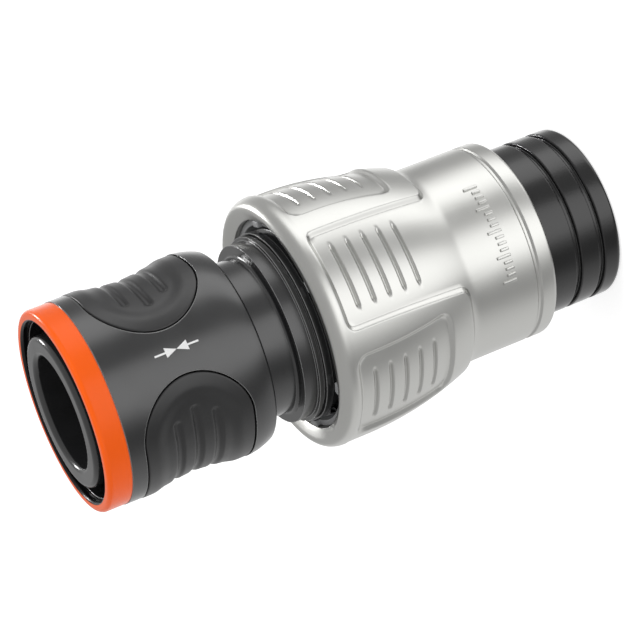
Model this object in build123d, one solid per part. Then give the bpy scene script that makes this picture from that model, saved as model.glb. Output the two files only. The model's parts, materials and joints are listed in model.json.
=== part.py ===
from build123d import *
import math
import os

os.makedirs("parts", exist_ok=True)

# A hose quick coupling with an automatic stop valve, standing on its hose guard, mouth up.
# The Z axis is the axis of the hose, z = 0 is the rear end of the guard. Sizes in millimetres.
# The grip pads face +X and -X, and the printed mark of the sleeve faces -Y.

# Heights of the outside, from the floor up
guard_show = 14.0          # length of the guard that shows behind the nut
rear_length = 14.8         # the nut's rear cylinder
barrel_end = 27.9          # length of the nut's barrel in front of it
collar_sink = 1.1          # how far the lowest collar of the body sits inside the nut
neck_length = 5.5          # bare neck between the collars and the sleeve
ring_height = 4.1
lip_rise = 0.3             # the socket's lip stands this far in front of the ring

# Fits
slide_gap = 0.3            # radial gap of the parts that slide on one another
close_gap = 0.1            # radial gap of parts that are pushed together
seat_gap = 0.05            # gap between a valve seal and its seat at rest
turn_gap = 0.25            # gap between the collet, the nut and the body

# Hose
hose_outer = 13.2          # radius of the hole that a 19 mm garden hose passes through
hose_inner = 9.0           # radius of the tail's tube, inside the hose

# Coupling body, from the inside out
seal_bore = 8.0            # radius of the bore that the plug's seal runs in
seal_bore_length = 6.0
relief_step = 0.4          # the bore behind the plug's seal is this much wider
relief_length = 4.0
relief_cone = 1.0
mouth_rim = 1.5            # the mouth is this much wider than the seal's bore
lead_in = 1.0
tube_wall = 3.35
neck_step = 0.5
neck_round = 0.6
lip_round = 0.8
throat_wall = 3.0          # width of the ledge that the valve shuts against
throat_length = 1.7
chamber_step = 0.8
chamber_length = 12.3
seat_wall = 1.4            # the tail's spigot is this much wider than its tube
seat_length = 5.5
cup_gap = 0.2
cup_depth = 9.0
cup_wall = 2.0
thread_length = 11.5       # length of the outer thread, whose fine ridge isn't part of this model
collar_step = 0.8          # the lower collar stands this far out of the thread
collar_height = 1.2
ledge_step = 0.55          # and the upper one this far
ledge_height = 0.7
groove_height = 0.4
groove_depth = 0.5
flange_width = 1.95        # the flange stands this far out of the neck
flange_height = 2.4

# Locking claws, four between the grip pads' axes
claw_count = 4
claw_width = 7.0
claw_side_gap = 0.2
claw_first_angle = 45.0
tooth_rise = 1.9           # the teeth start this far in front of the mouth's lead-in
tooth_height = 2.2
tooth_slope = 0.5
tooth_reach = 0.5          # they reach this far into the mouth
nose_rise = 2.2            # from the teeth to the nose's top
nose_height = 0.8
nose_reach = 0.65          # the nose stands this far out of the tube
heel_drop = 4.0            # the claw's outer slope ends this far under the nose's top
pin_drop = 5.0             # and the pivot pin lies this far under the slope's end
pin_inset = 1.9            # distance of the pins from the tube's outside
pin_radius = 0.7
pin_hole_gap = 0.06
pin_half_length = 4.9
boss_radius = 1.2
arm_thickness = 2.25
pocket_wall = 1.6          # wall left between the pocket and the seal's bore
pocket_room = 0.6          # room over the nose
pocket_heel = 1.6          # room under the pin
mouth_cover = 6.1          # from the nose's top to the socket's lip

# Release sleeve with its front ring and grip pads
claw_room = 2.15           # radial room round the tube for the open claws
spring_room = 1.75         # radial room round the tube for the spring
sleeve_wall = 2.2
belly_swell = 0.2          # the widest place against the front
rear_taper = 0.9           # the rear edge against the front
belly_height = 4.8         # height of the widest place above the sleeve's rear end
sleeve_round = 0.6
land_rise = 0.2            # the cam land that holds the claws shut starts above their noses
land_height = 1.0
land_gap = 0.45
guide_drop = 3.1           # from the pins to the ring that runs on the tube
guide_height = 1.5
lip_height = 0.7
ring_inset = 0.1           # the ring is this much slimmer than the sleeve's front
ring_lip = 0.3             # and its hole this much wider than the sleeve's
ring_round = 0.8
ring_inner_round = 0.5
spigot_wall = 1.1
spigot_length = 2.8

pad_share = 0.368          # half the pad's width as a share of the sleeve's length
pad_place = 0.531          # height of its middle as a share of the sleeve's length
pad_sector = 44.2          # half angle between the centres of the pad's round ends
pad_rise = 0.1             # the pads stand this far out of the sleeve's front
pad_thickness = 1.8
pad_seam = 0.12
pad_rim = 2.3              # rim round the pad's dish
pad_dish = 0.95
pad_dish_flare = 1.6       # how fast the dish narrows inwards at its round ends
pad_groove_spacing = 3.35
pad_groove_round = 0.85
pad_groove_depth = 0.35
pad_groove_span = 52.0
pad_middle_span = 58.0

# Stop ring and sleeve spring
stop_height = 1.1
stop_reach = 1.25          # the ring stands this far out of the tube
stop_groove_depth = 0.4
stop_split = 3.0
stop_above_lip = 0.1
sleeve_wire = 0.8
sleeve_spring_gap = 0.3
sleeve_spring_turns = 3.5

# Valve
stem_gap = 0.4             # between the stem's fins and the throat
stem_web = 1.8
stem_top_gap = 0.4         # the stem ends this far under the plug's bore
valve_head_gap = 1.0       # between the valve's head and the chamber, for the water
valve_head_height = 2.2
valve_seal_inset = 0.4
valve_seal_height = 1.0
rod_radius = 2.2
rod_tip = 0.95             # the rod reaches this far through the guide
valve_wire = 0.8
valve_spring_room = 2.4
valve_spring_turns = 4.5
guide_hub_margin = 0.6     # the hub is wider than the spring that stands on it
guide_disc_height = 1.8
guide_rim = 1.3
guide_spokes = 4
guide_spoke_width = 1.8

# Hose tail with its seal and retaining ring
tail_wall = 1.4
tail_flange_height = 2.0
tail_flange_gap = 0.3
tail_length = 28.0         # barbed length behind the flange
barb_height = 0.9
barb_pitch = 3.6
barb_slope = 0.75          # share of the pitch that each barb's slope takes
barb_back = 0.2
barb_land = 0.01
barb_count = 6
tail_seal_depth = 1.1
tail_seal_height = 1.6
circlip_height = 1.0
circlip_width = 1.8
circlip_groove = 0.5
circlip_split = 4.0

# Clamp nut with its thread liner
liner_wall = 2.35
nut_wall = 3.55            # the barrel's wall at its widest, round the liner
mouth_lip = 1.95           # wall of the nut's mouth
mouth_slope = 0.4          # the mouth's face slopes inwards over this width
mouth_slope_depth = 1.0
bead_swell = 0.1
bead_height = 2.6
bead_end = 3.5             # the grip panels start this far behind the nut's front
barrel_crest = 6.6
land_end_slope = 0.9       # the lands drop to the rear cylinder over this length
rear_wall = 1.65
rim_height = 2.8
rim_groove_width = 0.5
rim_groove_depth = 0.35
rim_round = 0.7
panel_depth = 0.6
panel_pairs = 3
channel_half_width = 8.45
inset_half_width = 8.95
inset_length = 16.8
inset_corner = 2.5
first_channel_angle = -87.9
grip_groove_count = 5
grip_groove_front = 2.9    # from the panel's front end to the first groove
grip_groove_rear = 2.5     # and from the last groove to the closed panel's rear end
grip_groove_span = 16.0
grip_groove_depth = 0.4
grip_groove_round = 0.5
liner_top = 1.8            # the liner starts this far inside the nut
liner_length = 19.8
liner_wall_gap = 0.05
liner_lead = 1.2
liner_lead_length = 1.6
lug_count = 6
lug_width = 2.0
lug_height = 0.9
lug_thickness = 1.1
lug_first_angle = -24.0
lug_foot = 0.5             # the lugs are rooted this deep in the liner
cone_rise = 1.6            # how far the cone that shuts the collet widens
guard_stop = 2.1           # height of the nut's rear lip

# Collet
collet_wall = 1.2
collet_taper = 2.0
collet_ring_height = 5.0
collet_gap_to_guard = 0.5
collet_slots = 8
collet_slot_width = 1.6
collet_teeth = 4
collet_tooth_height = 0.35
collet_tooth_pitch = 2.0
collet_tooth_slope = 0.7   # share of the pitch that each tooth takes
collet_tooth_start = 1.0

# Hose guard
guard_wall = 1.55
guard_lip_gap = 0.15
guard_flange = 0.65        # the hidden flange that holds the guard in the nut
guard_flange_height = 6.0
guard_groove_width = 0.9
guard_groove_depth = 0.7
guard_groove_round = 0.25
guard_groove_1 = 8.2       # height of the upper ring groove above the floor
guard_groove_2 = 3.7
guard_round = 0.9

# Radii worked out from the sizes above
relief_radius = seal_bore + relief_step
mouth_radius = seal_bore + mouth_rim
tube_radius = mouth_radius + tube_wall
neck_radius = tube_radius + neck_step
seat_radius = hose_inner + seat_wall
chamber_radius = seat_radius - chamber_step
throat_radius = chamber_radius - throat_wall
cup_radius = hose_outer + cup_gap
thread_radius = cup_radius + cup_wall
collar_radius = thread_radius + collar_step
ledge_radius = thread_radius + ledge_step
flange_radius = neck_radius + flange_width
pocket_floor = seal_bore + pocket_wall
pin_circle = tube_radius - pin_inset
nose_radius = tube_radius + nose_reach
arm_outer = tube_radius - close_gap
arm_inner = arm_outer - arm_thickness
tooth_radius = mouth_radius - tooth_reach
stop_outer = tube_radius + stop_reach
sleeve_spring_radius = tube_radius + sleeve_spring_gap + sleeve_wire / 2
spring_hole = tube_radius + spring_room
sleeve_inner = tube_radius + claw_room
land_radius = nose_radius + land_gap
sleeve_front = sleeve_inner + sleeve_wall
sleeve_belly = sleeve_front + belly_swell
sleeve_rear = sleeve_front - rear_taper
spigot_radius = sleeve_inner + spigot_wall
ring_inner = sleeve_inner + ring_lip
ring_outer = sleeve_front - ring_inset
pad_radius = sleeve_front + pad_rise
pad_floor = pad_radius - pad_thickness
stem_radius = throat_radius - stem_gap
valve_head_radius = chamber_radius - valve_head_gap
valve_seal_outer = valve_head_radius - valve_seal_inset
valve_spring_radius = rod_radius + valve_spring_room
valve_seal_inner = valve_spring_radius - valve_wire / 2
guide_hub_radius = valve_spring_radius + guide_hub_margin
tail_bore = hose_inner - tail_wall
circlip_inner = cup_radius - circlip_width
liner_inner = thread_radius + slide_gap
nut_bore = liner_inner + liner_wall
barrel_radius = nut_bore + nut_wall
bead_radius = barrel_radius + bead_swell
lip_outer = nut_bore + mouth_lip
guard_radius = hose_outer + guard_wall
guard_stop_radius = guard_radius + guard_lip_gap
guard_bore_radius = guard_radius + guard_flange
rear_radius = guard_bore_radius + rear_wall
cone_top = guard_bore_radius + cone_rise
grip_groove_spacing = (inset_length - grip_groove_front - grip_groove_rear) / (grip_groove_count - 1)
barrel_drop = barrel_radius - panel_depth - rear_radius
barrel_sweep = ((barrel_end - barrel_crest)**2 + barrel_drop**2) / (2 * barrel_drop)

# Stations worked out from the sizes above
nut_length = barrel_end + rear_length
nut_bottom = guard_show
nut_top = nut_bottom + nut_length
body_seat = nut_top - collar_sink
body_foot = body_seat - thread_length
groove_bottom = body_seat + collar_height
ledge_bottom = groove_bottom + groove_height
flange_bottom = ledge_bottom + ledge_height
flange_top = flange_bottom + flange_height
sleeve_bottom = flange_top + neck_length
cup_top = body_foot + cup_depth
seat_top = cup_top + seat_length
chamber_top = seat_top + chamber_length
throat_top = chamber_top + throat_length
relief_top = throat_top + relief_length
seal_bore_top = relief_top + seal_bore_length
mouth_bottom = seal_bore_top + lead_in
tooth_bottom = mouth_bottom + tooth_rise
tooth_top = tooth_bottom + tooth_height
nose_top = tooth_top + nose_rise
heel = nose_top - heel_drop
pivot_height = heel - pin_drop
lip = nose_top + mouth_cover
ring_top = lip - lip_rise
sleeve_top = ring_top - ring_height
sleeve_length = sleeve_top - sleeve_bottom
stop_bottom = sleeve_bottom + lip_height + stop_above_lip
stop_top = stop_bottom + stop_height
guide_top = pivot_height - guide_drop
guide_bottom = guide_top - guide_height
land_top = nose_top + land_rise
pad_half_width = pad_share * sleeve_length
pad_centre = sleeve_bottom + pad_place * sleeve_length
valve_seal_top = chamber_top - seat_gap
head_top = valve_seal_top - valve_seal_height
head_bottom = head_top - valve_head_height
guide_disc_bottom = seat_top - guide_disc_height
rod_bottom = guide_disc_bottom - rod_tip
tail_spigot_top = guide_disc_bottom
tail_flange_top = cup_top
tail_flange_bottom = tail_flange_top - tail_flange_height
circlip_top = tail_flange_bottom
circlip_bottom = circlip_top - circlip_height
tail_bottom = tail_flange_bottom - tail_length
barrel_end_height = nut_top - barrel_end
guard_top = nut_bottom + guard_stop + guard_flange_height
guard_seat = nut_bottom + guard_stop
collet_top = body_foot - turn_gap
collet_bottom = guard_top + collet_gap_to_guard
liner_bottom = nut_top - liner_top - liner_length


def round_edges(solid, height, inside=0.0):
    """The turned edges of a solid at one height, outside a radius."""
    turned = solid.edges().filter_by(GeomType.CIRCLE)
    return turned.filter_by(lambda edge: abs(edge.center().Z - height) < 0.01 and edge.radius > inside)


def lathe(*points):
    """A solid turned about the Z axis from a closed outline of (radius, height) points."""
    return revolve(Plane.XZ * make_face(Polyline(*points, close=True)), Axis.Z)


def ring(inner, outer, bottom, top):
    """A plain ring or tube."""
    return lathe((inner, bottom), (outer, bottom), (outer, top), (inner, top))


def disc(radius, bottom, top):
    """A plain round disc or bar."""
    return Pos(0, 0, bottom) * Cylinder(radius, top - bottom, align=(Align.CENTER, Align.CENTER, Align.MIN))


def radial_box(width, inner, outer, bottom, top):
    """A block that reaches outwards along +X, centred on the X axis."""
    return Pos((inner + outer) / 2, 0, (bottom + top) / 2) * Box(outer - inner, width, top - bottom)


def around(count, first=0.0):
    """The turns about the Z axis of a pattern of equal copies."""
    return [Rot(0, 0, first + 360 / count * index) for index in range(count)]


def coil_spring(radius, wire, turns, bottom, top):
    """A round wire wound into a helix, with its ends resting on the two seats."""
    rise = top - bottom - wire
    path = Helix(pitch=rise / turns, height=rise, radius=radius)
    section = Plane(origin=path @ 0, z_dir=path % 0) * Circle(wire / 2)
    return Pos(0, 0, bottom + wire / 2) * sweep(section, path=path, is_frenet=True)


def split_ring(inner, outer, bottom, top, split):
    """A snap ring with a gap on its +Y side."""
    gap = Rot(0, 0, 90) * radial_box(split, 0, outer + 1, bottom - 1, top + 1)
    return ring(inner, outer, bottom, top) - gap


def barrel_radius_at(depth):
    """Radius of the nut's lands at a depth behind its front."""
    offset = max(depth - barrel_crest, 0)
    return barrel_radius - barrel_sweep + math.sqrt(barrel_sweep**2 - offset**2)


# Coupling body

def pivot_frame(index):
    """The upright plane through one claw, with x outwards from the axis and y up."""
    return Rot(0, 0, claw_first_angle + 360 / claw_count * index)


def make_coupling_body():
    outside = lathe(
        (0, body_foot), (thread_radius, body_foot), (thread_radius, body_seat),
        (collar_radius, body_seat), (collar_radius, groove_bottom),
        (ledge_radius - groove_depth, groove_bottom), (ledge_radius - groove_depth, ledge_bottom),
        (ledge_radius, ledge_bottom), (ledge_radius, flange_bottom),
        (flange_radius, flange_bottom), (flange_radius, flange_top),
        (neck_radius, flange_top), (neck_radius, stop_bottom),
        (tube_radius, stop_bottom), (tube_radius, lip), (0, lip),
    )
    inside = lathe(
        (0, body_foot), (cup_radius, body_foot), (cup_radius, cup_top),
        (seat_radius, cup_top), (seat_radius, seat_top),
        (chamber_radius, seat_top), (chamber_radius, chamber_top),
        (throat_radius, chamber_top), (throat_radius, throat_top),
        (relief_radius, throat_top + relief_cone), (relief_radius, relief_top),
        (seal_bore, relief_top), (seal_bore, seal_bore_top),
        (mouth_radius, mouth_bottom), (mouth_radius, lip), (0, lip),
    )
    body = outside - inside
    body -= ring(tube_radius - stop_groove_depth, tube_radius, stop_bottom, stop_top)
    body -= ring(cup_radius, cup_radius + circlip_groove, circlip_bottom, circlip_top)
    pocket_width = claw_width + 2 * claw_side_gap
    pocket_top = nose_top + pocket_room
    pocket = radial_box(
        pocket_width, pocket_floor, tube_radius + 1, pivot_height - pocket_heel, pocket_top)
    window = radial_box(
        pocket_width, seal_bore, tube_radius + 1, mouth_bottom, pocket_top)
    for turn in around(claw_count, claw_first_angle):
        body -= turn * (pocket + window)
        body -= turn * pin_bar(pin_radius)
    neck_foot = round_edges(body, flange_top).filter_by(lambda edge: edge.radius < flange_radius)
    body = fillet(neck_foot, min(neck_round, (flange_radius - neck_radius) / 2))
    return fillet(round_edges(body, lip), min(lip_round, tube_wall / 3))


# Locking claws and their pins

def pin_bar(radius):
    """A bar on the pivot axis of the claw on +X."""
    bar = Rot(90, 0, 0) * Cylinder(radius, 2 * pin_half_length)
    return Pos(pin_circle, 0, pivot_height) * bar


def make_claw():
    turned = lathe(
        (arm_inner, pivot_height), (arm_inner, tooth_bottom),
        (tooth_radius, tooth_bottom + tooth_slope), (tooth_radius, tooth_top - tooth_slope),
        (arm_inner, tooth_top + tooth_slope), (arm_inner, nose_top),
        (nose_radius, nose_top), (nose_radius, nose_top - nose_height),
        (arm_outer, heel), (pin_circle + boss_radius, pivot_height),
    )
    arm = turned & radial_box(claw_width, 0, nose_radius + 1, pivot_height - 1, lip)
    boss = Pos(pin_circle, 0, pivot_height) * Rot(90, 0, 0) * Cylinder(boss_radius, claw_width)
    return arm + boss - pin_bar(pin_radius + pin_hole_gap)


# Release sleeve

def obround(inset, inner, outer, flare=0.0):
    """The pad's outline, a slot with round ends laid round the sleeve on its +X side.

    With a flare the round ends widen outwards, to the outline on the pad's surface.
    """
    half = pad_half_width - inset
    upwards = (Align.CENTER, Align.CENTER, Align.MIN)
    end = Cylinder(half, outer + 1, align=upwards)
    if flare:
        rim = math.sqrt(pad_radius**2 - half**2)
        foot = rim - (half - 1) / flare
        end = Pos(0, 0, foot) * Cone(1, half + flare * (outer + 1 - rim), outer + 1 - foot, align=upwards)
    wedge_x = (outer + 1) * math.cos(math.radians(pad_sector))
    wedge_y = (outer + 1) * math.sin(math.radians(pad_sector))
    far = 2 * outer
    wedge = Polyline(
        (0, 0), (wedge_x, -wedge_y), (far, -wedge_y), (far, wedge_y), (wedge_x, wedge_y), close=True)
    block = Pos(0, 0, pad_centre - half) * extrude(make_face(wedge), 2 * half)
    for side in (-1, 1):
        block += Pos(0, 0, pad_centre) * Rot(0, 0, side * pad_sector) * Rot(0, 90, 0) * end
    return block & ring(inner, outer, pad_centre - half - 1, pad_centre + half + 1)


def make_release_sleeve():
    spigot_top = sleeve_top + spigot_length
    rear = (sleeve_rear, sleeve_bottom)
    belly = (sleeve_belly, sleeve_bottom + belly_height)
    outline = Polyline(
        belly,
        (sleeve_front, sleeve_top), (spigot_radius, sleeve_top), (spigot_radius, spigot_top),
        (sleeve_inner, spigot_top), (sleeve_inner, land_top), (land_radius, land_top),
        (land_radius, land_top - land_height), (spring_hole, land_top - land_height),
        (spring_hole, guide_top), (tube_radius + slide_gap, guide_top),
        (tube_radius + slide_gap, guide_bottom), (spring_hole, guide_bottom),
        (spring_hole, sleeve_bottom + lip_height), (neck_radius + slide_gap, sleeve_bottom + lip_height),
        (neck_radius + slide_gap, sleeve_bottom), rear,
    )
    shoulder = TangentArc(belly, rear, tangent=(0, -1))
    sleeve = revolve(Plane.XZ * make_face(Curve() + [outline, shoulder]), Axis.Z)
    pocket = obround(0, pad_floor, pad_radius + 1)
    for turn in around(2):
        sleeve -= turn * pocket
    return fillet(round_edges(sleeve, sleeve_bottom, spring_hole), sleeve_round)


def make_front_ring():
    inner_step = sleeve_top + spigot_length + close_gap
    collar = lathe(
        (spigot_radius + seat_gap, sleeve_top), (ring_outer, sleeve_top), (ring_outer, ring_top),
        (ring_inner, ring_top), (ring_inner, inner_step), (spigot_radius + seat_gap, inner_step),
    )
    collar = fillet(round_edges(collar, ring_top, spigot_radius), ring_round)
    return fillet(round_edges(collar, ring_top).filter_by(lambda edge: edge.radius < spigot_radius),
                  ring_inner_round)


def make_grip_pad():
    pad = obround(pad_seam, pad_floor, pad_radius)
    dish_half = pad_half_width - pad_rim
    low = (pad_radius, pad_centre - dish_half)
    high = (pad_radius, pad_centre + dish_half)
    dish_arc = ThreePointArc(low, (pad_radius - pad_dish, pad_centre), high)
    dish_face = Plane.XZ * make_face(dish_arc + Line(high, low))
    pad -= revolve(dish_face, Axis.Z) & obround(pad_rim, pad_floor, pad_radius + 1, pad_dish_flare)
    for place in (-1, 0, 1):
        span = pad_groove_span if place else pad_middle_span
        height = pad_centre + place * pad_groove_spacing
        bottom = pad_radius - pad_dish - pad_groove_depth
        centre = bottom + pad_groove_round
        section = Plane.XZ * Pos(centre, height) * Circle(pad_groove_round)
        pad -= Rot(0, 0, -span) * revolve(section, Axis.Z, revolution_arc=2 * span)
        for side in (-1, 1):
            pad -= Rot(0, 0, side * span) * Pos(centre, 0, height) * Sphere(pad_groove_round)
    return pad


# Valve

def make_valve_piston():
    stem_top = relief_top - stem_top_gap
    piston = disc(valve_head_radius, head_bottom, head_top)
    piston += disc(valve_seal_inner, head_top, stem_top)
    for turn in around(4, claw_first_angle):
        piston += turn * radial_box(stem_web, 0, stem_radius, head_top + valve_seal_height, stem_top)
    piston += disc(rod_radius, rod_bottom, head_bottom)
    return piston


def make_piston_seal():
    return ring(valve_seal_inner, valve_seal_outer, head_top, valve_seal_top)


def make_valve_guide():
    outer = seat_radius - seat_gap
    guide = ring(outer - guide_rim, outer, guide_disc_bottom, seat_top)
    guide += disc(guide_hub_radius, guide_disc_bottom, seat_top)
    for turn in around(guide_spokes):
        guide += turn * radial_box(
            guide_spoke_width, 0, outer - guide_rim / 2, guide_disc_bottom, seat_top)
    return guide - disc(rod_radius + turn_gap, guide_disc_bottom - 1, seat_top + 1)


# Hose tail

def make_hose_tail():
    spigot = seat_radius - seat_gap
    flange = cup_radius - tail_flange_gap
    seal_top = tail_spigot_top - tail_seal_depth
    seal_floor = spigot - tail_seal_depth
    outline = [
        (tail_bore, tail_bottom), (hose_inner, tail_bottom),
    ]
    for index in range(barb_count):
        barb_bottom = tail_bottom + index * barb_pitch
        outline += [
            (hose_inner, barb_bottom + barb_land),
            (hose_inner + barb_height, barb_bottom + barb_slope * barb_pitch),
            (hose_inner, barb_bottom + barb_slope * barb_pitch + barb_back),
        ]
    outline += [
        (hose_inner, tail_flange_bottom), (flange, tail_flange_bottom), (flange, tail_flange_top),
        (spigot, tail_flange_top), (spigot, seal_top - tail_seal_height),
        (seal_floor, seal_top - tail_seal_height), (seal_floor, seal_top),
        (spigot, seal_top), (spigot, tail_spigot_top), (tail_bore, tail_spigot_top),
    ]
    return lathe(*outline)


def make_tail_seal():
    spigot = seat_radius - seat_gap
    seal_top = tail_spigot_top - tail_seal_depth
    return ring(spigot - tail_seal_depth, spigot, seal_top - tail_seal_height, seal_top)


# Collet

def make_clamp_collet():
    shoulder = guard_bore_radius - turn_gap
    finger = hose_outer + collet_wall
    wedge_top = liner_bottom - turn_gap
    ring_bottom = collet_top - collet_ring_height
    collet = lathe(
        (hose_outer, collet_bottom), (finger, collet_bottom), (finger, barrel_end_height - collet_taper),
        (shoulder, barrel_end_height), (cone_top - 2 * turn_gap, wedge_top),
        (liner_inner - turn_gap, wedge_top), (liner_inner - turn_gap, collet_top), (hose_outer, collet_top),
    )
    for index in range(collet_teeth):
        tooth = collet_bottom + collet_tooth_start + index * collet_tooth_pitch
        collet += lathe(
            (hose_outer, tooth), (hose_outer - collet_tooth_height, tooth + collet_tooth_height),
            (hose_outer, tooth + collet_tooth_pitch * collet_tooth_slope))
    slot = radial_box(collet_slot_width, 0, cone_top + 1, collet_bottom - 1, ring_bottom)
    for turn in around(collet_slots):
        collet -= turn * slot
    return collet


# Nut

def panel_cutters():
    """The three channels that run out to the rear, and the three closed panels between them."""
    front = nut_top - bead_end
    cutters = []
    for turn in around(panel_pairs, first_channel_angle):
        channel = radial_box(
            2 * channel_half_width, 0, bead_radius + 1, barrel_end_height - 2 * land_end_slope, front)
        cutters.append(turn * channel)
    inset = Plane.YZ * Pos(0, front - inset_length / 2) * RectangleRounded(
        2 * inset_half_width, inset_length, inset_corner)
    for turn in around(panel_pairs, first_channel_angle + 180 / panel_pairs):
        cutters.append(turn * extrude(inset, bead_radius + 1))
    return cutters


def grip_groove(floor, height):
    """A shallow groove with pointed ends on the +X side, cut flatter than the panel's curve."""
    bottom = floor - grip_groove_depth
    end_x = floor * math.cos(math.radians(grip_groove_span))
    offset = (floor**2 - bottom**2) / (2 * (bottom - end_x))
    section = Plane.XZ * Pos(bottom + offset + grip_groove_round, 0) * Circle(grip_groove_round)
    bar = revolve(section, Axis.Z, revolution_arc=grip_groove_span)
    return Pos(-offset, 0, height) * Rot(0, 0, -grip_groove_span / 2) * bar


def turned_barrel(inset, end_slope):
    """The nut's body behind its front bead, with the barrel's wall set in by a depth."""
    crest = nut_top - barrel_crest
    front = nut_top - bead_end
    middle_depth = (barrel_crest + barrel_end) / 2
    end = (barrel_radius_at(barrel_end) - inset, barrel_end_height)
    middle = (barrel_radius_at(middle_depth) - inset, nut_top - middle_depth)
    start = (barrel_radius - inset, crest)
    foot = (rear_radius, barrel_end_height - end_slope)
    rear = Polyline((0, nut_bottom), (rear_radius, nut_bottom), foot, end)
    sweep_arc = ThreePointArc(end, middle, start)
    top = Polyline(start, (barrel_radius - inset, front), (0, front), (0, nut_bottom))
    return revolve(Plane.XZ * make_face(Curve() + [rear, sweep_arc, top]), Axis.Z)


def turned_bead():
    """The rounded bead round the nut's mouth."""
    front = nut_top - bead_end
    widest = (bead_radius, nut_top - bead_height)
    halfway = math.sqrt(0.5)
    shoulder = (lip_outer + (bead_radius - lip_outer) * halfway, nut_top - bead_height * (1 - halfway))
    rounded = ThreePointArc(widest, shoulder, (lip_outer, nut_top))
    sides = Polyline((lip_outer, nut_top), (0, nut_top), (0, front), (barrel_radius, front), widest)
    return revolve(Plane.XZ * make_face(Curve() + [rounded, sides]), Axis.Z)


def make_clamp_nut():
    lands = turned_barrel(0, land_end_slope)
    for cutter in panel_cutters():
        lands -= cutter
    nut = turned_barrel(panel_depth, panel_depth) + lands + turned_bead()
    rim_groove_top = nut_bottom + rim_height + rim_groove_width
    nut -= ring(rear_radius - rim_groove_depth, rear_radius + 1, nut_bottom + rim_height, rim_groove_top)
    for turn in around(2 * panel_pairs, first_channel_angle):
        for index in range(grip_groove_count):
            depth = bead_end + grip_groove_front + index * grip_groove_spacing
            nut -= turn * grip_groove(barrel_radius_at(depth) - panel_depth, nut_top - depth)
    cavity = lathe(
        (0, nut_bottom), (guard_stop_radius, nut_bottom), (guard_stop_radius, guard_seat),
        (guard_bore_radius, guard_seat), (guard_bore_radius, barrel_end_height),
        (cone_top, liner_bottom), (nut_bore, liner_bottom), (nut_bore, nut_top - mouth_slope_depth),
        (nut_bore + mouth_slope, nut_top), (0, nut_top),
    )
    nut -= cavity
    return fillet(round_edges(nut, nut_bottom, guard_bore_radius), rim_round)


def make_thread_liner():
    top = nut_top - liner_top
    outer = nut_bore - liner_wall_gap
    liner = lathe(
        (liner_inner, liner_bottom), (outer, liner_bottom), (outer, top),
        (liner_inner + liner_lead, top), (liner_inner, top - liner_lead_length),
    )
    lug = radial_box(lug_width, outer - lug_thickness, outer + 1, top - lug_foot, top + lug_height)
    band = ring(outer - lug_thickness, outer, top - lug_foot, top + lug_height)
    for turn in around(lug_count, lug_first_angle):
        liner += turn * lug & band
    return liner


# Hose guard

def make_hose_guard():
    guard = lathe(
        (hose_outer, 0), (guard_radius, 0), (guard_radius, guard_seat),
        (guard_bore_radius - close_gap, guard_seat), (guard_bore_radius - close_gap, guard_top),
        (hose_outer, guard_top),
    )
    for height in (guard_groove_1, guard_groove_2):
        guard -= ring(guard_radius - guard_groove_depth, guard_radius + 1,
                      height - guard_groove_width / 2, height + guard_groove_width / 2)
    for height in (guard_groove_1, guard_groove_2):
        for side in (-1, 1):
            edge = round_edges(guard, height + side * guard_groove_width / 2, guard_radius - close_gap)
            guard = fillet(edge, guard_groove_round)
    return fillet(round_edges(guard, 0, hose_outer + close_gap), guard_round)


pieces = {
    "clamp_nut": make_clamp_nut(),
    "thread_liner": make_thread_liner(),
    "hose_guard": make_hose_guard(),
    "clamp_collet": make_clamp_collet(),
    "coupling_body": make_coupling_body(),
    "hose_tail": make_hose_tail(),
    "tail_seal": make_tail_seal(),
    "tail_circlip": split_ring(
        circlip_inner, cup_radius + circlip_groove, circlip_bottom, circlip_top, circlip_split),
    "stop_ring": split_ring(
        tube_radius - stop_groove_depth, stop_outer, stop_bottom, stop_top, stop_split),
    "sleeve_spring": coil_spring(
        sleeve_spring_radius, sleeve_wire, sleeve_spring_turns, stop_top, guide_bottom),
    "valve_spring": coil_spring(
        valve_spring_radius, valve_wire, valve_spring_turns, seat_top, head_bottom),
    "valve_guide": make_valve_guide(),
    "valve_piston": make_valve_piston(),
    "piston_seal": make_piston_seal(),
    "release_sleeve": make_release_sleeve(),
    "front_ring": make_front_ring(),
}
grip_pad = make_grip_pad()
pieces["grip_pad_right"] = grip_pad
pieces["grip_pad_left"] = Rot(0, 0, 180) * grip_pad
claw = make_claw()
for index in range(claw_count):
    pieces[f"locking_claw_{index + 1}"] = pivot_frame(index) * claw
    pieces[f"claw_pin_{index + 1}"] = pivot_frame(index) * pin_bar(pin_radius)

for name, piece in pieces.items():
    export_step(piece, f"parts/{name}.step")
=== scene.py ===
"""A hose quick coupling with a stop valve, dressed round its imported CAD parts.

Lengths in the outlines are in millimetres, as in the CAD model, and angles in degrees.
"""
import json
import math

import bpy
from mathutils import Matrix, Vector


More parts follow.
